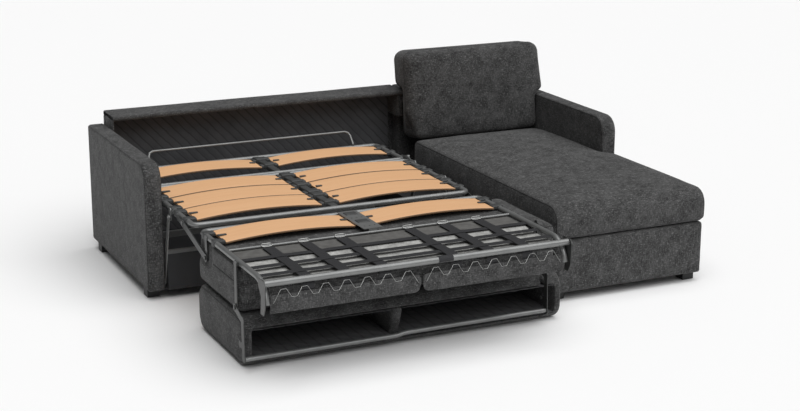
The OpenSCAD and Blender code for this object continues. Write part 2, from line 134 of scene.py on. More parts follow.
world = bpy.data.worlds.new("studio")
world.use_nodes = True
world.node_tree.nodes["Background"].inputs["Color"].default_value = (1.0, 1.0, 1.0, 1.0)
world.node_tree.nodes["Background"].inputs["Strength"].default_value = 0.13
bpy.context.scene.world = world
bpy.context.scene.view_settings.view_transform = "Standard"
suns = (("ceiling_light", (20, 8, 0), 80, 3.0), ("window_light", (58, 16, 0), 40, 0.25))
for name, turn, angle, power in suns:
    lamp = bpy.data.lights.new(name, "SUN")
    lamp.angle = np.radians(angle)
    lamp.energy = power
    o = bpy.data.objects.new(name, lamp)
    bpy.context.collection.objects.link(o)
    o.rotation_euler = np.radians(turn)


# Chenille: the upholstery is a soft dark charcoal pile cloth. Its short tufts
# catch the light as pale flecks a few millimetres across, over slow mottling.
def chenille(name, deep, mid, fleck, pile=0.0034):
    """Pile cloth: threads lie level and upright, so two stretched noises are laid over slow mottling. The mix
    of a deep and a middle tone follows their sum, and only the highest threads catch pale flecks."""
    m, tree, shader = material(name)
    place = tree.nodes.new("ShaderNodeTexCoord").outputs["Object"]
    fine, long = 1 / pile, 0.22 / pile
    runs = []
    for scale in ((long, long, fine), (fine, fine, long)):
        stretched = put(tree, "ShaderNodeMapping", {"Vector": place}, {"Scale": scale})
        runs.append(put(tree, "ShaderNodeTexNoise", {"Vector": stretched},
            {"Scale": 1.0, "Detail": 3.0, "Roughness": 0.7}))
    thread = put(tree, "ShaderNodeMath", {0: runs[0], 1: runs[1]}, operation="ADD")
    spread = put(tree, "ShaderNodeMapRange", {"Value": thread}, {"From Min": 0.78, "From Max": 1.24})
    slow = put(tree, "ShaderNodeTexNoise", {"Vector": place},
        {"Scale": 16.0, "Detail": 5.0, "Roughness": 0.65})
    patch = put(tree, "ShaderNodeMapRange", {"Value": slow}, {"From Min": 0.36, "From Max": 0.66})
    both = put(tree, "ShaderNodeMath", {0: spread, 2: patch}, {1: 1.6}, operation="MULTIPLY_ADD")
    share = put(tree, "ShaderNodeMath", {0: both}, {1: 0.385}, operation="MULTIPLY")
    base = put(tree, "ShaderNodeMix", {"Factor": share}, {"A": colour(deep), "B": colour(mid)},
        data_type="RGBA")
    high = put(tree, "ShaderNodeMapRange", {"Value": thread},
        {"From Min": 1.1, "From Max": 1.36, "To Max": 0.8})
    tone = put(tree, "ShaderNodeMix", {"Factor": high, "A": base}, {"B": colour(fleck)}, data_type="RGBA")
    bump = put(tree, "ShaderNodeBump", {"Height": thread}, {"Strength": 0.45, "Distance": 0.0014})
    join(tree, shader, {"Base Color": tone, "Normal": bump},
        {"Roughness": 0.94, "Sheen Weight": 0.14, "Sheen Roughness": 0.45, "Specular IOR Level": 0.2})
    return m


charcoal_chenille = chenille("charcoal_chenille", "#1b1b1b", "#5a5a5a", "#848484")
piping_thread = chenille("charcoal_piping", "#1d1d1d", "#333333", "#4a4a4a", 0.002)


def outline(low, high, radii, gap=0.03, parts=None, steps=10):
    """Round-cornered rectangle, counter-clockwise from the bottom right corner: centre plus radius times
    (cos, sin) at each corner, with the sides cut into the given parts, or into parts about a gap long."""
    parts = parts or [max(2, int(v / gap)) for v in (high[1] - low[1], high[0] - low[0])] * 2
    corners = ((high[0], low[1], -90), (high[0], high[1], 0), (low[0], high[1], 90), (low[0], low[1], 180))
    arcs = []
    for (x, y, turn), r, sx, sy in zip(corners, radii, (-1, -1, 1, 1), (1, -1, -1, 1)):
        a = np.radians(turn + np.linspace(0, 90, steps))
        arcs.append(np.c_[x + sx * r + r * np.cos(a), y + sy * r + r * np.sin(a)])
    out = []
    for i in range(4):
        t = np.linspace(0, 1, parts[i] + 1)[1:-1, None]
        out += [arcs[i], arcs[i][-1] + (arcs[(i + 1) % 4][0] - arcs[i][-1]) * t]
    return np.concatenate(out)


def grid_quads(m, n, around=False, along=False):
    """Quads of a grid with m rows of n points; each row, and each column too, may close on itself."""
    i, j = np.meshgrid(np.arange(m - (not along)), np.arange(n - (not around)), indexing="ij")
    k, l = (i + 1) % m, (j + 1) % n
    return np.stack([i * n + j, i * n + l, k * n + l, k * n + j], -1).reshape(-1, 4)


def shell(name, rings, stuff, fans=True):
    """Closed skin over rings of equal length, with a fan to the middle or one flat face at both ends."""
    m, n = rings.shape[:2]
    points, first, last = rings.reshape(-1, 3), np.arange(n), np.arange(n) + (m - 1) * n
    faces = grid_quads(m, n, around=True).tolist()
    if fans:
        points = np.concatenate([points, [rings[0].mean(0)], [rings[-1].mean(0)]])
        faces += np.c_[np.roll(first, -1), first, np.full(n, m * n)].tolist()
        faces += np.c_[last, np.roll(last, -1), np.full(n, m * n + 1)].tolist()
    else:
        faces += [first[::-1].tolist(), last.tolist()]
    return mesh_piece(name, points, faces, stuff)


def padded_slab(name, low, high, radii, depth, axis, edge, puff, stitch=0.0016, gap=0.03):
    """Boxed upholstery: an outline carried across the depth. Each level is drawn in by an inset: a quarter
    circle at the edges, a small stitched groove, then the panel, which rises to the puff as 1 - (1 - t)^2."""
    spans = (high[1] - low[1], high[0] - low[0])
    parts = [max(2, int(v / gap)) for v in spans] * 2
    half, full = min(spans) / 2, depth[1] - depth[0]
    levels = [(edge + (half - edge) * t * 0.97, -puff * (1 - (1 - t) ** 2))
        for t in (0.98, 0.8, 0.6, 0.42, 0.28, 0.17, 0.09, 0.045)]
    levels += [(edge + 0.006, 0.0), (edge + 0.002, 0.0), (edge, stitch), (edge - 0.002, 0.0004)]
    levels += [(edge * (1 - np.sin(a)), edge * (1 - np.cos(a))) for a in np.radians((14, 30, 46, 62, 78, 90))]
    n = max(2, int((full - 2 * edge) / gap))
    whole = levels + [(0.0, edge + (full - 2 * edge) * k / n) for k in range(1, n)]
    whole += [(i, full - d) for i, d in reversed(levels)]
    rings = []
    for inset, d in whole:
        ring = outline((low[0] + inset, low[1] + inset), (high[0] - inset, high[1] - inset),
            [max(v - inset, 0.0008) for v in radii], parts=parts)
        rings.append(np.c_[ring, np.full(len(ring), depth[0] + d)])
    order = {"x": [2, 0, 1], "y": [0, 2, 1], "z": [0, 1, 2]}[axis]
    return shell(name, np.array(rings)[:, :, order], charcoal_chenille)


def places(mesh):
    """The places of all vertices of a mesh, as one array."""
    co = np.empty(len(mesh.vertices) * 3)
    mesh.vertices.foreach_get("co", co)
    return co.reshape(-1, 3)


def reshape(piece, rule):
    """Moves every vertex by a rule that takes and returns the whole array of points."""
    piece.data.vertices.foreach_set("co", rule(places(piece.data)).ravel())
    piece.data.update()


def ripple(p, size, amount, seed=0.0):
    """Slow unevenness of upholstery: a sum of two products of sines, with wavelengths near the size."""
    x, y, z = p.T / size
    a = np.sin(x * 6.283 + seed) * np.sin(y * 4.7 + 1.3 * seed + 1)
    b = np.sin((x + z) * 3.9 + 2.1 * seed) * np.sin((y - z) * 5.3 + seed)
    return amount * (a + b) / 2


def cord_mesh(name, path, radius, stuff, body, closed=False, sides=8):
    """Round bar: path plus radius times (cos, sin) along two normals of the path's direction."""
    path = np.asarray(path, float)
    after = np.roll(path, -1, 0) if closed else np.r_[path[1:], path[-1:]]
    before = np.roll(path, 1, 0) if closed else np.r_[path[:1], path[:-1]]
    t = after - before
    t /= np.linalg.norm(t, axis=1)[:, None] + 1e-12
    up = np.array([0.31, 0.22, 0.93]) if abs(t[:, 2]).max() < 0.98 else np.array([0.93, 0.22, 0.31])
    a = np.cross(t, up)
    a /= np.linalg.norm(a, axis=1)[:, None] + 1e-12
    b = np.cross(t, a)
    w = np.linspace(0, 2 * np.pi, sides, endpoint=False)[:, None]
    rings = path[:, None] + radius * (a[:, None] * np.cos(w) + b[:, None] * np.sin(w))
    if closed:
        quads = grid_quads(len(path), sides, around=True, along=True)
        piece = mesh_piece(name, rings.reshape(-1, 3), quads.tolist(), stuff)
    else:
        piece = shell(name, rings, stuff)
    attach(piece, body)
    return piece


def seam(name, path, target, body, radius=0.0013, closed=False):
    """Sewn piping: each point of the path is put on the target's surface, and a thin bar follows them."""
    tree = BVHTree.FromObject(target, bpy.context.evaluated_depsgraph_get())
    on = [tree.find_nearest(Vector(p))[0] for p in path]
    cord_mesh(name, on, radius, piping_thread, body, closed)


def plump(piece, cap, voxel, pressure=4.0, rounds=1):
    """Inflates a padded piece: voxel remesh, cloth with pressure and no gravity for twenty frames, each
    point's move cut to the cap, and one subdivision, which a mesh that is already fine leaves out."""
    bpy.context.view_layer.objects.active = piece
    for o in bpy.context.selected_objects:
        o.select_set(False)
    piece.select_set(True)
    remesh = piece.modifiers.new("remesh", "REMESH")
    remesh.mode = "VOXEL"
    remesh.voxel_size = voxel
    bpy.ops.object.modifier_apply(modifier="remesh")
    before = places(piece.data)
    cloth = piece.modifiers.new("cloth", "CLOTH")
    cloth.settings.use_pressure = True
    cloth.settings.uniform_pressure_force = pressure
    cloth.settings.effector_weights.gravity = 0
    cloth.settings.quality = 3
    cloth.settings.tension_stiffness = 40
    cloth.settings.bending_stiffness = 8
    scene = bpy.context.scene
    for f in range(1, 21):
        scene.frame_set(f)
    after = places(piece.evaluated_get(bpy.context.evaluated_depsgraph_get()).data)
    piece.modifiers.remove(cloth)
    scene.frame_set(1)
    move = after - before
    move -= move.mean(0)
    size = np.linalg.norm(move, axis=1)[:, None] + 1e-9
    piece.data.vertices.foreach_set("co", (before + move * np.minimum(1, cap / size)).ravel())
    smooth = piece.modifiers.new("even", "SMOOTH")
    smooth.factor = 0.5
    smooth.iterations = 4
    bpy.ops.object.modifier_apply(modifier="even")
    if rounds:
        sub = piece.modifiers.new("round", "SUBSURF")
        sub.levels = sub.render_levels = rounds
        bpy.ops.object.modifier_apply(modifier="round")
    piece.data.polygons.foreach_set("use_smooth", np.full(len(piece.data.polygons), True))


# Arms: a board panel padded with thin foam and covered in chenille. One strip
# runs up the front, round the corner and back along the top; the two side
# panels are sewn to it, and the seams show as fine cords.
for name in ("left_arm", "right_arm"):
    lo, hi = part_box(name)
    arm = padded_slab(name + "_cover", (lo[1] + 0.001, lo[2]), (hi[1], hi[2]), (0.012, 0.02, 0.082, 0.012),
        (lo[0] + 0.0015, hi[0] - 0.0015), "x", 0.012, 0.0015)
    reshape(arm, lambda p: p + ripple(p, 0.5, 0.0006)[:, None] * (0, 0, 1))
    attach(arm, "sofa")
    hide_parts(name)
    for side, x in (("left", lo[0] + 0.002), ("right", hi[0] - 0.002)):
        inset = 0.006
        ring = outline((lo[1] + inset, lo[2] + inset), (hi[1] - inset, hi[2] - inset),
            (0.008, 0.016, 0.076, 0.008), 0.02)
        ring = ring[ring[:, 1] > lo[2] + 2 * inset]
        start = int(np.argmin(np.linalg.norm(ring - [hi[1], lo[2]], axis=1)))
        ring = np.roll(ring, -start, 0)
        seam(f"{name}_{side}_seam", np.c_[np.full(len(ring), x), ring], arm, "sofa")


# Back behind the bed: a thin padded ledge along the top, with two cheeks under
# its ends, over a plain covered panel. The cloth is pulled round the ledge's
# front edge and tacked underneath.
def blocks(name, boxes, r, stuff):
    """Rounded blocks in one mesh: each point is centre + (half size - r) times the corner's signs + r times
    (cos a cos b, cos a sin b, sin a), with sixteen points a ring and eight rings."""
    lat = np.radians([-90, -60, -30, 0, 0, 30, 60, 90])[:, None]
    up = np.array([-1] * 4 + [1] * 4)[:, None]
    lon = np.radians(np.concatenate([np.linspace(0, 90, 4) + 90 * q for q in range(4)]))
    sx, sy = np.repeat([1, -1, -1, 1], 4), np.repeat([1, 1, -1, -1], 4)
    quads = grid_quads(8, 16, around=True)
    points, faces = [], []
    for n, (lo, hi) in enumerate(boxes):
        c, h = (np.array(hi) + lo) / 2, (np.array(hi) - lo) / 2
        q = min(r, h.min() * 0.98)
        p = np.stack([
            c[0] + (h[0] - q) * sx + q * np.cos(lat) * np.cos(lon),
            c[1] + (h[1] - q) * sy + q * np.cos(lat) * np.sin(lon),
            c[2] + (h[2] - q) * up + q * np.sin(lat) + 0 * lon], -1)
        points.append(p.reshape(-1, 3))
        first = 128 * n
        faces += (quads + first).tolist()
        faces += [list(range(first, first + 16))[::-1], list(range(first + 112, first + 128))]
    return mesh_piece(name, np.concatenate(points), faces, stuff)


lo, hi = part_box("bed_back_shell")
lining_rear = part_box("bed_back_lining")[1][1]
rail_z = hi[2] - 0.0262
rail = padded_slab("bed_back_ledge_cover", (lo[1], rail_z), (hi[1], hi[2] - 0.0005),
    (0.010, 0.012, 0.0125, 0.012), (lo[0] + 0.0005, hi[0] - 0.0005), "x", 0.006, 0.0)
tack_x = (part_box("mid_centre_bar")[0][0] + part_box("mid_centre_bar")[1][0]) / 2 + 0.02


def pull_in(p):
    """The ledge dips slightly along its length, and a tack draws up its lower front edge at the middle."""
    q = p.copy()
    near = np.exp(-((p[:, 0] - tack_x) / 0.02) ** 2) * np.clip((rail_z + 0.015 - p[:, 2]) / 0.015, 0, 1)
    q[:, 2] += 0.006 * near * (p[:, 1] < lo[1] + 0.03) + ripple(p, 0.7, 0.0009, 2)
    q[:, 1] += ripple(p, 0.4, 0.001, 5)
    return q


reshape(rail, pull_in)
left_cheek = ((lo[0] + 0.0005, lo[1] + 0.0085, 0.611), (lo[0] + 0.0078, lining_rear, rail_z + 0.011))
right_cheek = ((hi[0] - 0.0298, lo[1] + 0.0145, 0.561), (hi[0] - 0.0005, lining_rear, rail_z + 0.006))
cheeks = blocks("bed_back_cheeks", [left_cheek, right_cheek], 0.003, charcoal_chenille)
panel = padded_slab("bed_back_panel_cover", (lo[0] + 0.0005, lo[2]), (hi[0] - 0.0005, rail_z), (0.004,) * 4,
    (lining_rear + 0.0005, hi[1] - 0.001), "y", 0.003, 0.0)
for piece in (rail, panel, cheeks):
    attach(piece, "sofa")
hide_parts("bed_back_shell")
line = np.linspace(lo[0] + 0.004, hi[0] - 0.004, 90)
seam("bed_back_rail_seam", np.c_[line, np.full(90, hi[1]), np.full(90, hi[2] - 0.013)], rail, "sofa")


# Lining of the back: thin black polyester, quilted in slanting rows, stretched
# over the inside of the frame and tacked round its edge.
quilt_pitch = 0.036
quilt, tree, shader = material("black_quilted_lining")
place = tree.nodes.new("ShaderNodeTexCoord").outputs["Object"]
cloudy = put(tree, "ShaderNodeTexNoise", {"Vector": place}, {"Scale": 9.0, "Detail": 3.0})
fine = put(tree, "ShaderNodeTexNoise", {"Vector": place}, {"Scale": 420.0, "Detail": 2.0})
tone = put(tree, "ShaderNodeMix", {"Factor": cloudy}, {"A": colour("#39393b"), "B": colour("#555557")},
    data_type="RGBA")
slant = put(tree, "ShaderNodeVectorMath", {0: place}, {1: (0.72, 0.0, 0.69)}, operation="DOT_PRODUCT")
uneven = put(tree, "ShaderNodeTexNoise", {"Vector": place}, {"Scale": 22.0, "Detail": 2.0})
drift = put(tree, "ShaderNodeMath", {0: uneven, 2: slant}, {1: 0.009}, operation="MULTIPLY_ADD")
phase = put(tree, "ShaderNodeMath", {0: drift}, {1: np.pi / quilt_pitch}, operation="MULTIPLY")
swing = put(tree, "ShaderNodeMath", {0: phase}, operation="SINE")
groove = put(tree, "ShaderNodeMath", {0: swing}, operation="ABSOLUTE")
# Towards each quilt line the colour is mixed toward near black: painted shade in the grooves.
depth = put(tree, "ShaderNodeMapRange", {"Value": groove},
    {"From Min": 0.05, "From Max": 0.45, "To Min": 0.6, "To Max": 0.0})
groove_shade_tone = put(tree, "ShaderNodeMix", {"Factor": depth, "A": tone}, {"B": colour("#0d0d0e")}, data_type="RGBA")
bump = put(tree, "ShaderNodeBump", {"Height": fine}, {"Strength": 0.25, "Distance": 0.0005})
join(tree, shader, {"Base Color": groove_shade_tone, "Normal": bump}, {"Roughness": 0.8, "Sheen Weight": 0.15})


def quilted(u, v, pitch=quilt_pitch, depth=0.0035):
    """Height of slanting quilt rows: depth times a root of |sin| across the slant, a little less at each
    stitch along a row."""
    across = np.abs(np.sin(np.pi * (u * 0.72 + v * 0.69) / pitch)) ** 0.45
    along = 0.85 + 0.15 * np.abs(np.sin(np.pi * (u * 0.69 - v * 0.72) / (pitch * 3.2))) ** 0.6
    return depth * across * along


def open_sheet(name, grid, stuff, thick, offset=0.0):
    """Cloth or sheet from a grid of points, with its thickness laid on by a modifier."""
    mesh = bpy.data.meshes.new(name)
    quads = grid_quads(*grid.shape[:2])[:, [0, 3, 2, 1]]
    mesh.from_pydata(grid.reshape(-1, 3).tolist(), [], quads.tolist())
    piece = add_piece(name, mesh, stuff)
    solid = piece.modifiers.new("thickness", "SOLIDIFY")
    solid.thickness = thick
    solid.offset = offset
    return piece


lo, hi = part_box("bed_back_lining")
left_x, right_x, low_z, high_z = lo[0] + 0.0092, hi[0] - 0.0312, lo[2] + 0.008, rail_z - 0.001
u, v = np.meshgrid(np.linspace(left_x, right_x, 340), np.linspace(low_z, high_z, 138), indexing="ij")
face = np.stack([u, lo[1] + 0.0045 - quilted(u, v), v], -1)
lining = open_sheet("back_lining_quilt", face, quilt, 0.0015, -1.0)
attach(lining, "sofa")
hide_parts("bed_back_lining")


# Chaise box and the chaise back: boards under thin foam and the same chenille,
# with softly rounded upright corners. The front of the box is wider than its
# rear, as it passes in front of the right arm.
def step_plan(x, y, r, inset, gap=0.03, steps=8):
    """L-shaped plan drawn in by the inset, counter-clockwise: centre plus radius times (cos, sin) at five
    outer corners of radius r, and one inner corner whose arc is centred outside the plan."""
    k = max(r - inset, 0.0008)
    turns = ((x[0], y[0], 180, 1, 1), (x[2], y[0], 270, -1, 1), (x[2], y[1], 0, -1, -1), None,
        (x[1], y[2], 0, -1, -1), (x[0], y[2], 90, 1, -1))
    arcs = []
    for c in turns:
        if c is None:
            a = np.radians(np.linspace(270, 180, steps))
            q = 0.004 + inset
            arcs.append(np.c_[x[1] + 0.004 + q * np.cos(a), y[1] + 0.004 + q * np.sin(a)])
        else:
            a = np.radians(c[2] + np.linspace(0, 90, steps))
            arc_x, arc_y = c[0] + c[3] * (inset + k), c[1] + c[4] * (inset + k)
            arcs.append(np.c_[arc_x + k * np.cos(a), arc_y + k * np.sin(a)])
    spans = [x[2] - x[0], y[1] - y[0], x[2] - x[1], y[2] - y[1], x[1] - x[0], y[2] - y[0]]
    out = []
    for n in range(6):
        t = np.linspace(0, 1, max(2, int(spans[n] / gap)) + 1)[1:-1, None]
        out += [arcs[n], arcs[n][-1] + (arcs[(n + 1) % 6][0] - arcs[n][-1]) * t]
    return np.concatenate(out)


arm_x, arm_y, arm_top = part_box("right_arm")[0][0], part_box("right_arm")[0][1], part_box("right_arm")[1][2]
lo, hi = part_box("chaise_base")
x = (lo[0] + 0.0005, arm_x - 0.0005, hi[0] - 0.0005)
y = (lo[1] + 0.0005, arm_y - 0.0005, hi[1] - 0.0005)
insets = (0.03, 0.012, 0.0035, 0.0005, 0.0, 0.0008, 0.0, 0.0003, 0.0, 0.0005, 0.0, 0.001, 0.005, 0.014, 0.04)
levels = (0.0, 0.0, 0.002, 0.006, 0.012, 0.03, 0.06, 0.1, 0.14, 0.19, 0.226, 0.238, 0.2455, 0.2485, 0.249)
rings = []
for inset, z in zip(insets, levels):
    ring = step_plan(x, y, 0.024, inset)
    rings.append(np.c_[ring, np.full(len(ring), lo[2] + z * (hi[2] - lo[2] - 0.0005) / levels[-1])])
base = shell("chaise_base_cover", np.array(rings), charcoal_chenille, fans=False)
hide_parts("chaise_base")
lo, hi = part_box("chaise_back_shell")
back = padded_slab("chaise_back_cover", (lo[0] + 0.0005, lo[2]), (hi[0] - 0.0005, hi[2]),
    (0.006, 0.02, 0.02, 0.006), (lo[1] + 0.0005, hi[1] - 0.001), "y", 0.014, 0.002)
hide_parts("chaise_back_shell")
for piece in (base, back):
    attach(piece, "sofa")


# Chaise seat: one long boxed foam cushion. The top strip rolls over a big soft
# front edge and down to the box; the side panels are sewn to it with piping,
# and it is cut away at the rear to sit inside the arm.
def cut_away(piece, low, high):
    """Subtracts a plain box from the piece, so that its corner is left open."""
    p = [(x, y, z) for x in (low[0], high[0]) for y in (low[1], high[1]) for z in (low[2], high[2])]
    sides = [(0, 1, 3, 2), (4, 6, 7, 5), (0, 4, 5, 1), (2, 3, 7, 6), (0, 2, 6, 4), (1, 5, 7, 3)]
    cutter = mesh_piece("cutter", p, sides, charcoal_chenille, False)
    cut = piece.modifiers.new("cut", "BOOLEAN")
    cut.object = cutter
    cut.operation = "DIFFERENCE"
    cut.solver = "EXACT"
    bpy.context.view_layer.objects.active = piece
    bpy.ops.object.modifier_apply(modifier="cut")
    bpy.data.objects.remove(cutter)


lo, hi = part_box("chaise_seat_cushion")
top, roll = hi[2] - 0.010, 0.074
seat = padded_slab("chaise_seat_cover", (lo[1] + 0.002, lo[2] + 0.0005), (hi[1] - 0.002, top),
    (0.02, 0.03, roll, 0.03), (lo[0] + 0.0015, hi[0] - 0.0015), "x", 0.016, 0.007)
mid = (np.array(lo) + np.array(hi)) / 2


def crown_up(p):
    """The top rises toward the middle by 27 mm times (1 - u^4)(1 - v^6), with slow unevenness there and at
    the front, where the foam bears down."""
    q = p.copy()
    u = np.clip((p[:, 0] - mid[0]) / (hi[0] - lo[0]) * 2, -1, 1)
    v = np.clip((p[:, 1] - mid[1]) / (hi[1] - lo[1]) * 2, -1, 1)
    up = np.clip((p[:, 2] - mid[2]) / (top - mid[2]), 0, 1)
    q[:, 2] += up * (0.027 * (1 - u**4) + ripple(p, 0.33, 0.0022, 3) * (1 - u**6)) * (1 - v**6)
    q[:, 1] += np.where(p[:, 1] < lo[1] + 0.05, ripple(p, 0.3, 0.0015, 6), 0)
    return q


reshape(seat, crown_up)
cut_away(seat, (arm_x - 0.002, arm_y - 0.0025, 0.2), (1.4, 1.2, 0.7))
plump(seat, 0.004, 0.0118)
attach(seat, "sofa")
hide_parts("chaise_seat_cushion")
for name, x, end in (("left", lo[0] + 0.001, hi[1] - 0.03), ("right", hi[0] - 0.001, arm_y - 0.006)):
    a = np.radians(np.linspace(90, 180, 24))
    front = np.c_[lo[1] + 0.002 + roll + roll * np.cos(a), top - roll + roll * np.sin(a)]
    back_run = np.c_[np.linspace(end, front[0, 0] + 0.01, 70), np.full(70, top)]
    down = np.c_[np.full(8, front[-1, 0]), np.linspace(front[-1, 1] - 0.006, lo[2] + 0.01, 8)]
    path = np.concatenate([back_run, front, down])
    seam(f"chaise_seat_{name}_piping", np.c_[np.full(len(path), x), path], seat, "sofa", 0.0022)
    line = np.c_[np.full(70, x), np.linspace(end, lo[1] + 0.03, 70), np.full(70, lo[2] + 0.018)]
    seam(f"chaise_seat_{name}_low_seam", line, seat, "sofa", 0.0014)


# Chaise back: a loose boxed cushion that leans on the back. Its cloth wraps round
# the soft edges of the foam, and plain seams run along the side panel.
lo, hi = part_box("chaise_back_cushion")
lean = np.radians(7.0)
middle = (lo[0] + hi[0]) / 2
foot_y, foot_z = 0.7647, 0.294
tall, wide, thick, lift = 0.475, 0.742, 0.182, 0.165
low, high, radii = (middle - wide / 2, lift), (middle + wide / 2, lift + tall), (0.04, 0.048, 0.048, 0.04)
ledge_front, ledge_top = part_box("bed_back_shell")[0][1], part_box("bed_back_shell")[1][2]
back = padded_slab("chaise_back_cushion_cover", low, high, radii, (-thick, 0.0), "z", 0.032, 0.012, 0.0)


def ease(t):
    """Smooth step from 0 to 1: 3 t squared minus 2 t cubed, with t cut to that range."""
    t = np.clip(t, 0, 1)
    return t**2 * (3 - 2 * t)


def stand(p):
    """Puts the flat cushion upright, leaning back: y = foot + up sin(lean) + t cos(lean), z = foot
    + up cos(lean) - t sin(lean), with t from the front panel to the rear one, which the board behind presses
    flat. Above the arm on the right, and before and above the ledge on the left, it spreads sideways."""
    t = -np.where(p[:, 2] < -thick, -thick + (p[:, 2] + thick) * 0.3, p[:, 2])
    t -= ripple(np.c_[p[:, 0], p[:, 1], 0 * p[:, 0]], 0.27, 0.003, 4) * (t < 0.03)
    y = foot_y + p[:, 1] * np.sin(lean) + t * np.cos(lean)
    z = foot_z + p[:, 1] * np.cos(lean) - t * np.sin(lean)
    side = np.clip((p[:, 0] - middle) / (wide / 2), -1, 1)
    over_arm = ease((z - arm_top - 0.002) / 0.022) * (1 - 0.55 * np.clip((z - arm_top - 0.04) / 0.26, 0, 1))
    over_ledge = np.maximum(ease((ledge_front - 0.004 - y) / 0.035), ease((z - ledge_top - 0.003) / 0.03))
    over_bed = over_ledge * ease((z - 0.49) / 0.12)
    x = p[:, 0] + np.where(side > 0, 0.048 * over_arm, 0.036 * over_bed) * side
    return np.c_[x, y, z]


reshape(back, stand)
plump(back, 0.004, 0.0095)
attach(back, "sofa")
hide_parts("chaise_back_cushion")
ring = outline(low, high, radii, 0.015)
for name, t, r in (("front", 0.040, 0.0011), ("rear", thick - 0.036, 0.0018)):
    path = stand(np.c_[ring, np.full(len(ring), -t)])
    seam(f"chaise_back_cushion_{name}_seam", path, back, "sofa", r, True)


# Steel frame: round tube and flat bar, welded and bolted. The tubes have a satin
# grey powder coat, slightly pitted like orange peel, the hinge plates a nearly
# black one, and the thin wires are bright zinc.
def mottled(name, low, high, patches, rough, metal=0.0, grit=None, bump=None):
    """Two tones mixed by slow noise, as a surface is rubbed in places, and a fine bump where it has grit."""
    m, tree, shader = material(name)
    place = tree.nodes.new("ShaderNodeTexCoord").outputs["Object"]
    patch = put(tree, "ShaderNodeTexNoise", {"Vector": place}, patches)
    tone = put(tree, "ShaderNodeMix", {"Factor": patch}, {"A": colour(low), "B": colour(high)},
        data_type="RGBA")
    join(tree, shader, {"Base Color": tone}, {"Metallic": metal, "Roughness": rough})
    if grit:
        fine = put(tree, "ShaderNodeTexNoise", {"Vector": place}, grit)
        relief = put(tree, "ShaderNodeBump", {"Height": fine}, bump)
        join(tree, shader, {"Normal": relief})
    return m


rubbed = {"Scale": 14.0, "Detail": 5.0, "Roughness": 0.6}
peel, peel_bump = {"Scale": 900.0, "Detail": 1.0}, {"Strength": 0.08, "Distance": 0.0004}
grey_steel = mottled("grey_powder_coat", "#6c6d6d", "#8c8d8c", rubbed, 0.33, 0.45, peel, peel_bump)
dark_steel = mottled("dark_powder_coat", "#2c2d2d", "#414241", rubbed, 0.33, 0.3, peel, peel_bump)
bright_zinc = mottled("bright_zinc_wire", "#a9aaa8", "#cfd0ce", {"Scale": 120.0, "Detail": 3.0}, 0.32, 1.0)


def coat_nodes(names, coat, width=0.0, segments=2, angle=40):
    """CAD nodes keep their shape and get the coat, and a small broken edge where a width is given."""
    for name in names:
        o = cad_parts[name]
        o.data.materials.clear()
        o.data.materials.append(coat)
        if width:
            edge = o.modifiers.new("edges", "BEVEL")
            edge.width = width
            edge.segments = segments
            edge.limit_method = "ANGLE"
            edge.angle_limit = np.radians(angle)
            edge.harden_normals = True


coat_nodes(("front_cross_rail", "rear_cross_rail", "front_swing_arms", "rear_swing_arms",
    "foot_centre_plate"), grey_steel, 0.0006)
coat_nodes(("mechanism_side_plates", "knee_plates", "rest_pivot_lugs", "backrest_arm_plates", "corner_plates",
    "heel_lugs"), dark_steel, 0.0006)
coat_nodes(("mid_side_rails", "mid_cross_tubes", "head_side_rails", "head_cross_tubes", "foot_side_rails",
    "foot_corner_bends", "foot_rear_tube", "foot_front_tube", "webbing_rod", "backrest_tube",
    "mattress_stop_bar"), grey_steel)


# Slats: broad boards of bent beech plywood, 9 mm thick and slightly arched,
# clear lacquered. The grain runs along the board, and the cut edges are darkened
# nearly to black, a little more on every other ply.
beech, tree, shader = material("beech_plywood")
uv = put(tree, "ShaderNodeUVMap", uv_map="board")
face = put(tree, "ShaderNodeMapping", {"Vector": uv}, {"Scale": (1.2, 26.0, 1.0)})
figure = put(tree, "ShaderNodeTexNoise", {"Vector": face},
    {"Scale": 3.0, "Detail": 5.0, "Roughness": 0.6, "Distortion": 0.5})
line = put(tree, "ShaderNodeMapping", {"Vector": uv}, {"Scale": (14.0, 320.0, 1.0)})
pores = put(tree, "ShaderNodeTexNoise", {"Vector": line}, {"Scale": 3.0, "Detail": 2.0})
warm = put(tree, "ShaderNodeMix", {"Factor": figure}, {"A": colour("#d9a475"), "B": colour("#ecc094")},
    data_type="RGBA")
dark = put(tree, "ShaderNodeMapRange", {"Value": pores}, {"From Min": 0.6, "From Max": 0.75, "To Max": 0.3})
wood = put(tree, "ShaderNodeMix", {"Factor": dark, "A": warm}, {"B": colour("#b57f4c")}, data_type="RGBA")
layer = put(tree, "ShaderNodeAttribute", attribute_name="ply")
wave = put(tree, "ShaderNodeMath", {0: layer.outputs["Fac"]}, {1: 7.0}, operation="MULTIPLY")
saw = put(tree, "ShaderNodeMath", {0: wave}, {1: 2.0}, operation="MODULO")
odd = put(tree, "ShaderNodeMath", {0: saw}, {1: 1.0}, operation="GREATER_THAN")
# Cut edges are mixed 65 to 85 per cent toward near black, more on alternate plies.
both = put(tree, "ShaderNodeMath", {0: odd}, {1: 0.2, 2: 0.65}, operation="MULTIPLY_ADD")
edge = put(tree, "ShaderNodeAttribute", attribute_name="edge")
part = put(tree, "ShaderNodeMath", {0: both, 1: edge.outputs["Fac"]}, operation="MULTIPLY")
edge_darkened = put(tree, "ShaderNodeMix", {"Factor": part, "A": wood}, {"B": colour("#2c1d12")}, data_type="RGBA")
bump = put(tree, "ShaderNodeBump", {"Height": pores}, {"Strength": 0.05, "Distance": 0.0003})
join(tree, shader, {"Base Color": edge_darkened, "Normal": bump}, {"Roughness": 0.42})


def lay_uv(piece, name, flat):
    """Writes a UV map from one flat place, in metres, for each vertex."""
    layer = piece.data.uv_layers.new(name=name)
    corner = np.empty(len(piece.data.loops), int)
    piece.data.loops.foreach_get("vertex_index", corner)
    layer.data.foreach_set("uv", flat[corner].ravel())


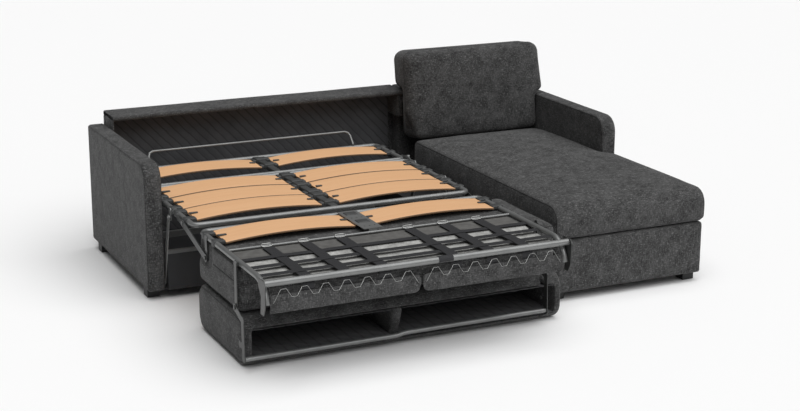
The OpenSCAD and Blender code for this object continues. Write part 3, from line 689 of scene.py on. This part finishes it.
def slat_board(name, x, y, crest, body, seed):
    """One board: its middle line is the arc z = sqrt(R^2 - x^2) + c through both ends and the crest. The
    section, a thin rectangle with rounded edges, is swept along it. Its length and width are its UV."""
    thick, rise, r = 0.009, 0.017, 0.0028
    centre, half = (x[0] + x[1]) / 2, (x[1] - x[0]) / 2
    radius = (half**2 + rise**2) / (2 * rise)
    arc_z = crest - thick / 2 - radius
    section = outline((y[0], -thick / 2), (y[1], thick / 2), (r, r, r, r), 0.02, steps=4)
    turn = np.arcsin(np.linspace(-half, half, 37) / radius)[:, None]
    out = section[:, 1] + radius
    rings = np.stack([centre + out * np.sin(turn), section[:, 0] + 0 * turn, arc_z + out * np.cos(turn)], -1)
    board = shell(name, rings, beech, fans=False)
    sharp = board.modifiers.new("sharp_ends", "EDGE_SPLIT")
    sharp.split_angle = np.radians(50)
    co = places(board.data)
    depth = (np.hypot(co[:, 0] - centre, co[:, 2] - arc_z) - radius) / thick + 0.5
    rim = np.minimum(co[:, 1] - y[0], y[1] - co[:, 1]) < r * 0.8
    for label, values in (("ply", depth), ("edge", rim)):
        layer = board.data.attributes.new(label, "FLOAT", "POINT")
        layer.data.foreach_set("value", values.astype(np.float32))
    lay_uv(board, "board", np.c_[co[:, 0] + seed * 1.7, co[:, 1] + seed * 0.37])
    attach(board, body)
    return board


rows = {"head_slats": ("head_section", ((0.6425, 0.8145),)),
    "mid_slats": ("middle_section", ((0.2785, 0.4645), (0.0705, 0.2645), (-0.1275, 0.0605))),
    "foot_slats": ("foot_section", ((-0.5095, -0.3235),))}
seed = 0
for node, (body, runs) in rows.items():
    for y in runs:
        for x in ((-1.093, -0.498), (-0.408, 0.187)):
            seed += 1
            slat_board(f"{node}_board_{seed}", x, y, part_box(node)[1][2] - 0.010, body, seed)
    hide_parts(node)


# Slat holders and centre bars: moulded black rubber. Each holder grips the tube
# like a saddle, its socket takes the end of a board, and one tongue for each end
# holds the board down.
rubber = mottled("black_rubber", "#2e2f2f", "#4a4b4b", {"Scale": 35.0, "Detail": 4.0}, 0.55,
    grit={"Scale": 700.0, "Detail": 2.0}, bump={"Strength": 0.15, "Distance": 0.0004})


def ends(x, y, z):
    """Lowest and highest corner of a block from its three ranges."""
    return tuple(zip(sorted(x), y, z))


rail_left, rail_right, bar_x = -1.1305, 0.2245, -0.453
grip_z, socket_z, shelf_z, bridge_z, tongue_z = ((0.4205, 0.4515), (0.4315, 0.4500), (0.4300, 0.4385),
    (0.428, 0.4560), (0.4475, 0.4535))
for node, (body, runs) in rows.items():
    part = node.split("_")[0]
    rail_parts, centre_parts = [], []
    for y0, y1 in runs:
        for y in (y0 + 0.008, y1 - 0.048):
            span = (y, y + 0.04)
            for rail, side in ((rail_left, 1), (rail_right, -1)):
                rail_parts += [ends((rail - 0.0158, rail + 0.0158), (y + 0.001, y + 0.039), grip_z),
                    ends((rail + side * 0.010, rail + side * 0.0385), span, socket_z),
                    ends((rail + side * 0.030, rail + side * 0.052), span, shelf_z)]
            centre_parts += [ends((bar_x - 0.047, bar_x + 0.047), span, socket_z),
                ends((bar_x - 0.059, bar_x + 0.059), span, shelf_z),
                ends((bar_x - 0.029, bar_x + 0.029), (y - 0.004, y + 0.044), bridge_z)]
        span = ((y0 + y1) / 2 - 0.007, (y0 + y1) / 2 + 0.007)
        for rail, side in ((rail_left, 1), (rail_right, -1)):
            rail_parts.append(ends((rail + side * 0.030, rail + side * 0.071), span, tongue_z))
        for side in (-1, 1):
            centre_parts.append(ends((bar_x + side * 0.047, bar_x + side * 0.079), span, tongue_z))
    held = blocks(f"{part}_rail_holders", rail_parts, 0.0045, rubber)
    if part != "foot":
        lo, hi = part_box(f"{part}_centre_bar")
        centre_parts.append(((lo[0] + 0.002, lo[1], lo[2]), (hi[0] - 0.002, hi[1], hi[2] - 0.001)))
    middle = blocks(f"{part}_centre_holders", centre_parts, 0.0045, rubber)
    for piece in (held, middle):
        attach(piece, body)
    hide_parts(f"{part}_slat_holders")
    if part != "foot":
        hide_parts(f"{part}_centre_bar")


# Foot section: black elastic webbing is woven across the frame. The long bands
# hook onto the rod with bright wire clips and end under the front tube; grey
# felt on the underside of the seat shows between them. The weave has a rib each
# 2.2 mm along a band and each 3.1 mm across it.
webbing, tree, shader = material("black_webbing")
uv = put(tree, "ShaderNodeUVMap", uv_map="band")
split = put(tree, "ShaderNodeSeparateXYZ", {"Vector": uv})
ribs = []
for way, pitch in (("X", 0.0022), ("Y", 0.0031)):
    turns = put(tree, "ShaderNodeMath", {0: split.outputs[way]}, {1: 2 * np.pi / pitch}, operation="MULTIPLY")
    ribs.append(put(tree, "ShaderNodeMath", {0: turns}, operation="SINE"))
weave = put(tree, "ShaderNodeMath", {0: ribs[0], 1: ribs[1]}, operation="MULTIPLY")
shade = put(tree, "ShaderNodeMapRange", {"Value": weave}, {"From Min": -1.0, "From Max": 1.0})
tone = put(tree, "ShaderNodeMix", {"Factor": shade}, {"A": colour("#18181a"), "B": colour("#2a2a2d")},
    data_type="RGBA")
bump = put(tree, "ShaderNodeBump", {"Height": shade}, {"Strength": 0.4, "Distance": 0.0005})
join(tree, shader, {"Base Color": tone, "Normal": bump}, {"Roughness": 0.75})


def along_path(path, count):
    """Points at equal steps along a path of straight pieces, with their distances from its start."""
    run = np.concatenate([[0], np.cumsum(np.linalg.norm(np.diff(path, axis=0), axis=1))])
    s = np.linspace(0, run[-1], count(run[-1]))
    return s, np.stack([np.interp(s, run, column) for column in path.T], -1)


def band(name, path, across, width, thick, gap=0.006):
    """Flat woven band: a thin rounded rectangle swept along the path, upright on the path's direction; the UV
    is the length along it and the place across it in metres."""
    s, p = along_path(np.asarray(path, float), lambda length: max(12, int(length / gap)))
    for _ in range(2):
        p[1:-1] = (p[:-2] + 2 * p[1:-1] + p[2:]) / 4
    t = np.gradient(p, axis=0)
    t /= np.linalg.norm(t, axis=1)[:, None]
    a = np.array(across, float)
    n = np.cross(t, a)
    section = outline((-width / 2, -thick / 2), (width / 2, thick / 2), [thick * 0.45] * 4, 0.006, steps=3)
    piece = shell(name, p[:, None] + a * section[None, :, :1] + n[:, None] * section[None, :, 1:], webbing)
    co = places(piece.data)
    near = np.array([np.argmin(((p - c) ** 2).sum(1)) for c in co])
    lay_uv(piece, "band", np.c_[s[near], ((co - p[near]) * a).sum(1)])
    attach(piece, "foot_section")
    return piece


strap_x = np.array([-0.950, -0.782, -0.614, -0.292, -0.124, 0.044])
cross_y = np.array([-0.9775, -0.8675, -0.7575])
weave_z, weave_lift, strap_thick = 0.4356, 0.0016, 0.0014
hook = ((-0.672, weave_z - 0.0028), (-0.64, weave_z - 0.0026), (-0.6195, weave_z - 0.0022),
    (-0.6165, weave_z - 0.0005))
wrap = ((-1.05, 0.4315), (-1.0655, 0.4185), (-1.0735, 0.4125), (-1.0752, 0.402), (-1.0752, 0.385))
over = np.array([[(-1) ** (i + j) for j in range(3)] for i in range(6)])
straps, crosses = [], []
for i, x in enumerate(strap_x):
    y = np.linspace(-0.625, -1.035, 90)
    lift = -weave_lift * (np.exp(-((y[:, None] - cross_y) / 0.026) ** 4) * over[i]).sum(1)
    run = np.concatenate([hook, np.c_[y, weave_z + lift], wrap])
    path = np.c_[np.full(len(run), x), run]
    straps.append(band(f"long_strap_{i + 1}", path, (1, 0, 0), 0.050, strap_thick))
for j, y in enumerate(cross_y):
    x = np.linspace(-1.1165, 0.2105, 240)
    lift = weave_lift * (np.exp(-((x[:, None] - strap_x) / 0.034) ** 4) * over[:, j]).sum(1)
    path = np.c_[x, np.full(240, y), weave_z + lift]
    crosses.append(band(f"cross_strap_{j + 1}", path, (0, 1, 0), 0.036, strap_thick))
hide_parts("webbing_straps")
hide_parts("cross_straps")


def rounded(points, closed, times):
    """Corner cutting: each pass puts two points a quarter in from the ends of every straight piece."""
    p = np.asarray(points, float)
    for _ in range(times):
        q = np.roll(p, -1, 0) if closed else p[1:]
        a = p if closed else p[:-1]
        cut = np.stack([0.75 * a + 0.25 * q, 0.25 * a + 0.75 * q], 1).reshape(-1, 3)
        p = cut if closed else np.concatenate([p[:1], cut, p[-1:]])
    return p


rod_y, rod_z = -0.6035, 0.4355
bend = [(0.006, 0.0085), (-0.004, 0.0092), (-0.0125, 0.001)]
for i, x in enumerate(strap_x):
    loop = [(x + 0.024, rod_y + a, rod_z + b) for a, b in bend]
    loop += [(x - 0.024, rod_y + a, rod_z + b) for a, b in bend[::-1]]
    cord_mesh(f"wire_clip_{i + 1}", rounded(loop, True, 3), 0.0016, bright_zinc, "foot_section",
        True)
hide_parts("webbing_clips")

felt, tree, shader = material("grey_felt")
place = tree.nodes.new("ShaderNodeTexCoord").outputs["Object"]
blot = put(tree, "ShaderNodeTexNoise", {"Vector": place}, {"Scale": 26.0, "Detail": 6.0, "Roughness": 0.7})
hair = put(tree, "ShaderNodeTexNoise", {"Vector": place}, {"Scale": 500.0, "Detail": 3.0, "Roughness": 0.8})
spread = put(tree, "ShaderNodeMapRange", {"Value": blot}, {"From Min": 0.32, "From Max": 0.68})
tone = put(tree, "ShaderNodeMix", {"Factor": spread},
    {"A": colour("#7d7d7b"), "B": colour("#b4b4b1")}, data_type="RGBA")
split = put(tree, "ShaderNodeSeparateXYZ", {"Vector": place})
# Towards the rod the felt is mixed up to 80 per cent toward dark grey: painted shade.
near_rod = put(tree, "ShaderNodeMapRange", {"Value": split.outputs["Y"]},
    {"From Min": -0.77, "From Max": -0.71, "To Max": 0.8})
felt_rod_shade = put(tree, "ShaderNodeMix", {"Factor": near_rod, "A": tone}, {"B": colour("#3c3a38")}, data_type="RGBA")
bump = put(tree, "ShaderNodeBump", {"Height": hair}, {"Strength": 0.4, "Distance": 0.0008})
join(tree, shader, {"Base Color": felt_rod_shade, "Normal": bump}, {"Roughness": 0.95})

u, v = np.meshgrid(np.linspace(-1.108, 0.202, 160), np.linspace(-1.062, -0.60, 60), indexing="ij")
drop = 1 / (1 + np.exp((v + 0.795) / 0.008))
sag = ripple(np.stack([u.ravel(), v.ravel(), 0 * u.ravel()], -1), 0.19, 0.0016, 2).reshape(u.shape)
felt_z = 0.4272 - 0.0078 * drop + sag * (0.35 + 0.65 * drop)
under = open_sheet("seat_underside_felt", np.stack([u, v, felt_z], -1), felt, 0.0012)
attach(under, "foot_section")

tube_y, tube_z, wrap_r = -1.0785, 0.4335, 0.0158
a = np.linspace(-2.2, 3.6, 60)
path = np.c_[np.full(60, -0.348), tube_y + wrap_r * np.cos(a), tube_z + wrap_r * np.sin(a)]
sleeve = band("front_tube_sleeve", path, (1, 0, 0), 0.066, 0.0012, 0.003)


# Valance: two panels of the chenille hang in front of the seat, laced to the
# front tube with a thin zig-zag wire; they meet at the middle with round corners.
hem_z, top_z = 0.3065, 0.3830
lace_low, lace_top, lace_turns = 0.350, 0.4215, 14
for name, x0, x1, inner in (("left", -1.117, -0.459, 1), ("right", -0.447, 0.211, 0)):
    u, v = np.meshgrid(np.linspace(x0, x1, 150), np.linspace(0.0, 1.0, 26), indexing="ij")
    gap = np.abs(u - (x1 if inner else x0))
    r = 0.03
    cut = np.where(gap < r, r - np.sqrt(np.maximum(r**2 - (r - gap) ** 2, 0)), 0)
    z = hem_z + cut + (top_z - hem_z - cut * 1.5) * v
    wave = ripple(np.stack([u.ravel(), v.ravel(), z.ravel()], -1), 0.09, 0.0008, 1.5).reshape(u.shape)
    y = tube_y + wave + 0.0012 * np.cos(v * 3.1) - 0.004 * np.sin(v * 3.1)
    cloth = open_sheet(f"valance_{name}", np.stack([u, y, z], -1), charcoal_chenille, 0.003)
    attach(cloth, "foot_section")
    k = np.arange(lace_turns + 1)
    x = x0 + 0.012 + (x1 - x0 - 0.024) * k / lace_turns
    zig = np.c_[x, np.where(k % 2, tube_y - 0.0005, tube_y - 0.007), np.where(k % 2, lace_top, lace_low)]
    wire = cord_mesh(f"lace_{name}", rounded(zig, False, 1), 0.0009, bright_zinc, "foot_section",
        sides=6)
    if name == "left":
        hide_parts("front_valance")
        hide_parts("lacing_wires")


# Seat cushion under the foot section: a boxed foam pad in the same chenille. It
# is sewn with piping round both faces, and a zip closes its left side. It is cut
# away where the hinge plates pass.
lo, hi = (-1.1515, -0.8015, 0.2225), (0.350, -0.2775, 0.4228)
pad = padded_slab("seat_cushion_cover", (lo[0] + 0.002, lo[1] + 0.002), (hi[0] - 0.002, hi[1] - 0.002),
    (0.03,) * 4, (lo[2] + 0.0015, hi[2] - 0.0005), "z", 0.02, 0.0018)
reshape(pad, lambda p: p + np.c_[ripple(p, 0.3, 0.0012, 8), ripple(p, 0.35, 0.0018, 9), 0 * p[:, 0]])
cut_away(pad, (-1.2, -0.4725, 0.316), (-1.137, -0.26, 0.46))
cut_away(pad, (0.231, -0.4725, 0.316), (0.251, -0.26, 0.46))
cut_away(pad, (0.244, -0.83, 0.2), (0.2615, -0.7485, 0.46))
plump(pad, 0.0025, 0.0105, 3.0)
stiffener = ((-1.106, -1.0540, 0.3985), (0.2035, -0.790, 0.4155))
board = blocks("seat_front_board", [stiffener], 0.004, charcoal_chenille)
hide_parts("seat_cushion")
for piece in (pad, board):
    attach(piece, "foot_section")
ring = outline((lo[0] + 0.004, lo[1] + 0.004), (hi[0] - 0.004, hi[1] - 0.004), (0.028,) * 4, 0.02)
for name, z in (("upper", hi[2] - 0.003), ("lower", lo[2] + 0.004)):
    seam(f"seat_cushion_{name}_piping", np.c_[ring, np.full(len(ring), z)], pad, "foot_section", 0.0021, True)
zip_line = np.c_[np.full(40, lo[0]), np.linspace(-0.78, -0.50, 40), np.full(40, 0.352)]
seam("seat_cushion_zip", zip_line, pad, "foot_section", 0.0022)


# Backrest: it lies folded under the seat, hollow side to the front. A board
# frame is padded all round with rounded ends; black quilted cloth lines the
# hollow, and a padded rib stiffens the middle.
lo, hi = (-1.1515, -0.8625, 0.0), (0.350, -0.2775, 0.216)
rest = padded_slab("backrest_cover", (lo[1] + 0.001, lo[2] + 0.0005), (hi[1] - 0.001, hi[2] - 0.0015),
    (0.07,) * 4, (lo[0] + 0.0015, hi[0] - 0.0015), "x", 0.018, 0.002)
cut_away(rest, (-1.1165, -0.9, 0.035), (0.315, -0.3385, 0.167))
cut_away(rest, (0.2455, -0.9, -0.05), (0.2615, -0.8175, 0.3))
plump(rest, 0.002, 0.0075, 2.0, 0)
reshape(rest, lambda p: np.c_[p[:, :2], np.clip(p[:, 2], 0.0003, 0.2155)])
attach(rest, "backrest")
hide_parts("backrest_shell")
ring = outline((lo[1] + 0.016, lo[2] + 0.016), (hi[1] - 0.016, hi[2] - 0.016), (0.054,) * 4, 0.02)
for name, x in (("left", lo[0] + 0.002), ("right", hi[0] - 0.002)):
    seam(f"backrest_{name}_seam", np.c_[np.full(len(ring), x), ring], rest, "backrest", 0.0014, True)

mouth_y, deep_y, floor_z, roof_z, bend = -0.8555, -0.3395, 0.0362, 0.1655, 0.012
hollow = np.array([(mouth_y, floor_z), (deep_y - bend, floor_z), (deep_y - bend / 3, floor_z + bend / 3),
    (deep_y, floor_z + bend), (deep_y, roof_z - bend), (deep_y - bend / 3, roof_z - bend / 3),
    (deep_y - bend, roof_z), (mouth_y, roof_z)])
s, path = along_path(hollow, lambda length: 210)
way = np.gradient(path, axis=0)
way /= np.linalg.norm(way, axis=1)[:, None]
inward = np.c_[-way[:, 1], way[:, 0]]
for name, x0, x1 in (("left", -1.1155, -0.4755), ("right", -0.4305, 0.3140)):
    u, t = np.meshgrid(np.linspace(x0, x1, 210), s, indexing="ij")
    face = path + inward * quilted(u, t, 0.05, 0.0026)[:, :, None]
    cloth = open_sheet(f"backrest_lining_{name}", np.concatenate([u[:, :, None], face], -1), quilt, 0.0012)
    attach(cloth, "backrest")
    if name == "left":
        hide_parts("backrest_lining")
hem = np.c_[np.linspace(-1.115, 0.24, 160), np.full(160, -0.853), np.full(160, 0.036)]
seam("backrest_lining_hem", hem, rest, "backrest", 0.0016)


def slope_back(p):
    """The rib's front end slopes back by up to 50 mm toward its lower edge."""
    q = p.copy()
    q[:, 1] += 0.05 * np.clip((-0.75 - p[:, 1]) / 0.1, 0, 1) * np.clip((0.16 - p[:, 2]) / 0.12, 0, 1) ** 1.5
    return q


rib = padded_slab("backrest_rib_cover", (-0.8485, 0.0350), (-0.3460, 0.1670), (0.004, 0.004, 0.018, 0.004),
    (-0.4745, -0.4315), "x", 0.010, 0.001)
reshape(rib, slope_back)
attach(rib, "backrest")
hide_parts("backrest_rib")


# Boards and feet: particle board wrapped in black sheet closes the bed box, and
# short square feet of black plastic carry the sofa.
board = mottled("black_wrapped_board", "#1f1f21", "#2b2c2e", {"Scale": 8.0, "Detail": 4.0}, 0.6,
    grit={"Scale": 300.0, "Detail": 2.0}, bump={"Strength": 0.1, "Distance": 0.0003})
plastic, tree, shader = material("black_plastic")
place = tree.nodes.new("ShaderNodeTexCoord").outputs["Object"]
grain = put(tree, "ShaderNodeTexNoise", {"Vector": place}, {"Scale": 600.0, "Detail": 1.0})
bump = put(tree, "ShaderNodeBump", {"Height": grain}, {"Strength": 0.12, "Distance": 0.0003})
join(tree, shader, {"Normal": bump}, {"Base Color": colour("#1b1b1c"), "Roughness": 0.5})
for name, stuff, width in (("front_panel", board, 0.0015), ("inner_side_box", board, 0.003),
        ("bed_floor_board", board, 0.001), ("feet", plastic, 0.003)):
    coat_nodes([name], stuff, width, 3, 30)
